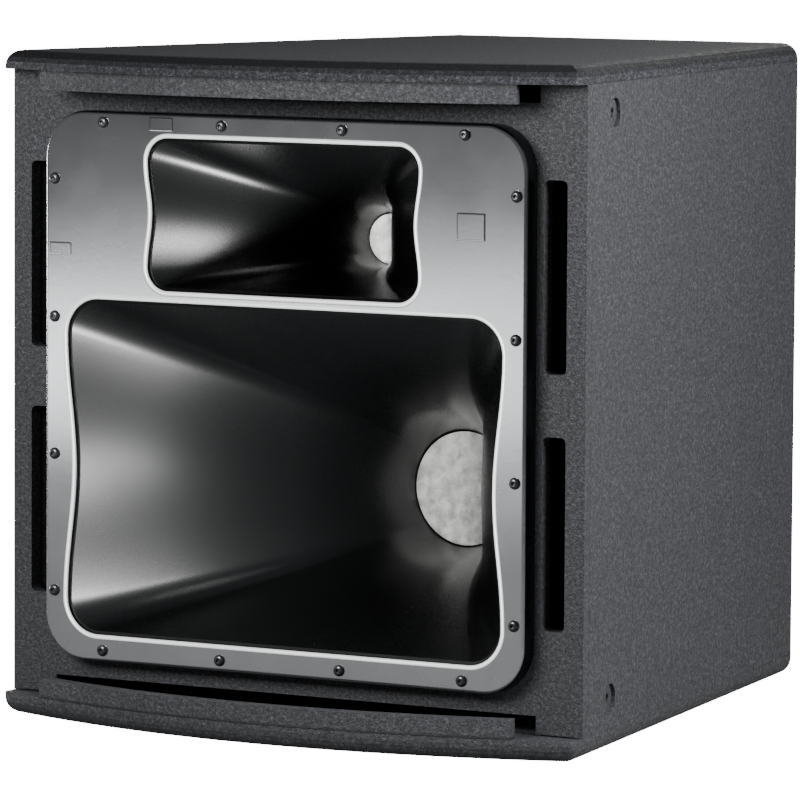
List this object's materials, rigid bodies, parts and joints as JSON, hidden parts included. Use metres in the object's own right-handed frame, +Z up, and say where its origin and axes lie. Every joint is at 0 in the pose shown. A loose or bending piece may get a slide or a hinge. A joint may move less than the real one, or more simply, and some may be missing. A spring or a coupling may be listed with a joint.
{
  "type": "loudspeaker cabinet",
  "caption": "Tapered three-way installation loudspeaker with a square two-horn waveguide, bowed top and bottom panels and slotted low-frequency outlets.",
  "frame": {"origin": "middle of the bounding box, on the floor plane", "axes": "+Z up, the horns face -Y, +X to the right of someone facing the horns"},
  "size_m": [0.726, 0.854, 0.741],
  "materials": {
    "textured_coating": "black textured coating on plywood",
    "silver_paint": "silver grey satin paint",
    "gloss_black": "semi-gloss black",
    "black_screw": "black oxide",
    "foam_rubber": "matt",
    "pale_screen": "pale acoustic cloth",
    "cast_frame": "black painted casting",
    "ferrite": "ferrite and steel motor",
    "paper_cone": "treated paper",
    "titanium": "formed metal",
    "plywood": "bare plywood",
    "copper_wire": "enamelled copper",
    "black_plastic": "moulded black",
    "clear_cover": "smoke grey",
    "zinc_steel": "zinc plated",
    "cable_jacket": "matt"
  },
  "bodies": {
    "cabinet": {"bottom_grille_batten": "textured_coating", "bottom_panel": "textured_coating", "crossover_board": "plywood", "crossover_capacitor": "black_plastic", "crossover_inductor": "copper_wire", "flange_screw_01": "black_screw", "flange_screw_02": "black_screw", "flange_screw_03": "black_screw", "flange_screw_04": "black_screw", "flange_screw_05": "black_screw", "flange_screw_06": "black_screw", "flange_screw_07": "black_screw", "flange_screw_08": "black_screw", "flange_screw_09": "black_screw", "flange_screw_10": "black_screw", "flange_screw_11": "black_screw", "flange_screw_12": "black_screw", "flange_screw_13": "black_screw", "flange_screw_14": "black_screw", "flange_screw_15": "black_screw", "flange_screw_16": "black_screw", "front_baffle": "textured_coating", "hf_driver_body": "ferrite", "hf_horn": "gloss_black", "hf_lead": "cable_jacket", "hf_phase_plug": "cast_frame", "hf_rear_cover": "cast_frame", "hf_throat_screen": "pale_screen", "input_dish": "black_plastic", "left_side_panel": "textured_coating", "left_suspension_point_lower": "zinc_steel", "left_suspension_point_upper": "zinc_steel", "mf_basket": "cast_frame", "mf_horn": "gloss_black", "mf_lead": "cable_jacket", "mf_magnet": "ferrite", "mf_phase_plug": "black_plastic", "mf_throat_screen": "pale_screen", "mode_switch_body": "black_plastic", "rear_panel": "textured_coating", "right_side_panel": "textured_coating", "right_suspension_point_lower": "zinc_steel", "right_suspension_point_upper": "zinc_steel", "speaker_socket_left": "black_plastic", "speaker_socket_right": "black_plastic", "terminal_strip": "black_plastic", "top_grille_batten": "textured_coating", "top_panel": "textured_coating", "waveguide_flange": "silver_paint", "waveguide_gasket": "foam_rubber", "woofer_basket": "cast_frame", "woofer_board": "textured_coating", "woofer_lead": "cable_jacket", "woofer_magnet": "ferrite", "woofer_surround": "foam_rubber"},
    "hf_diaphragm": {"hf_diaphragm": "titanium"},
    "mf_cone": {"mf_cone": "paper_cone"},
    "mode_switch_knob": {"mode_switch_knob": "black_plastic"},
    "terminal_cover": {"terminal_cover": "clear_cover"},
    "woofer_cone": {"woofer_cone": "paper_cone"}
  },
  "joints": [
    {"name": "woofer_travel", "type": "slide", "parent": "cabinet", "child": "woofer_cone", "axis": [0, 1, 0], "range_m": [-0.008, 0.008], "stiffness_N_per_m": 2500},
    {"name": "mf_cone_travel", "type": "slide", "parent": "cabinet", "child": "mf_cone", "axis": [0, 1, 0], "range_m": [-0.003, 0.003], "stiffness_N_per_m": 2500},
    {"name": "hf_diaphragm_travel", "type": "slide", "parent": "cabinet", "child": "hf_diaphragm", "axis": [0, 1, 0], "range_m": [-0.0004, 0.0004], "stiffness_N_per_m": 4000},
    {"name": "terminal_cover_hinge", "type": "hinge", "parent": "cabinet", "child": "terminal_cover", "pos_m": [0, 0.3878, 0.21], "axis": [1, 0, 0], "range_deg": [0, 88]},
    {"name": "mode_switch_turn", "type": "hinge", "parent": "cabinet", "child": "mode_switch_knob", "pos_m": [0.045, 0.385, 0.244], "axis": [0, 1, 0], "range_deg": [0, 90]}
  ]
}
